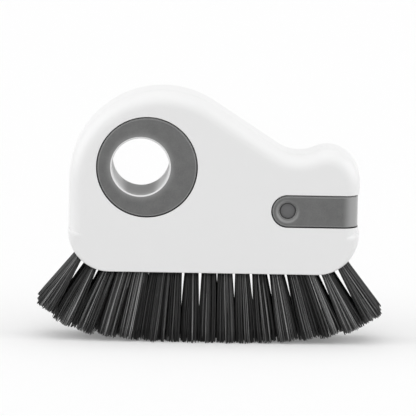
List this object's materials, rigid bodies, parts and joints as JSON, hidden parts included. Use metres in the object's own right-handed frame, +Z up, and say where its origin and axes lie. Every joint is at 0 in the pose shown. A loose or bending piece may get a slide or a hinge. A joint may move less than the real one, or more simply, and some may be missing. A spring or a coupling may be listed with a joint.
{
  "type": "groove cleaning brush",
  "caption": "Hand brush for window grooves: flat moulded body with a finger ring, an end band with push buttons and a fan of stiff bristles",
  "frame": {"origin": "on the floor under the middle of the fan of bristles, at mid-thickness", "axes": "+X to the right seen from the front, away from the finger ring; +Y from the front face to the back face; +Z up"},
  "size_m": [0.1456, 0.0266, 0.1067],
  "materials": {
    "white_shell": "white moulded plastic, soft satin gloss",
    "grey_grip": "matte grey soft-touch rubber with a fine grain",
    "dark_button": "dark grey moulded plastic, satin",
    "steel": "zinc-plated steel",
    "block": "plain white moulded plastic",
    "bristle": "black nylon bristles"
  },
  "bodies": {
    "brush_body": {"front_shell": "white_shell", "rear_shell": "white_shell", "ring_grip": "grey_grip", "end_band": "grey_grip", "button_spring": "steel", "bristle_block": "block", "shell_screw_1": "steel", "shell_screw_2": "steel", "shell_screw_3": "steel", "bristle_row_01": "bristle", "bristle_row_02": "bristle", "bristle_row_03": "bristle", "bristle_row_04": "bristle", "bristle_row_05": "bristle", "bristle_row_06": "bristle", "bristle_row_07": "bristle", "bristle_row_08": "bristle", "bristle_row_09": "bristle", "bristle_row_10": "bristle", "bristle_row_11": "bristle", "bristle_row_12": "bristle", "bristle_row_13": "bristle", "bristle_row_14": "bristle", "bristle_row_15": "bristle", "bristle_row_16": "bristle", "bristle_row_17": "bristle"},
    "front_button": {"button_front": "dark_button"},
    "rear_button": {"button_rear": "dark_button"}
  },
  "joints": [
    {"name": "front_button_press", "type": "slide", "parent": "brush_body", "child": "front_button", "axis": [0, 1, 0], "range_m": [0, 0.0013], "stiffness_N_per_m": 900, "springref_m": -0.002, "deforming": ["button_spring"]},
    {"name": "rear_button_press", "type": "slide", "parent": "brush_body", "child": "rear_button", "axis": [0, -1, 0], "range_m": [0, 0.0013], "stiffness_N_per_m": 900, "springref_m": -0.002, "deforming": ["button_spring"]}
  ]
}
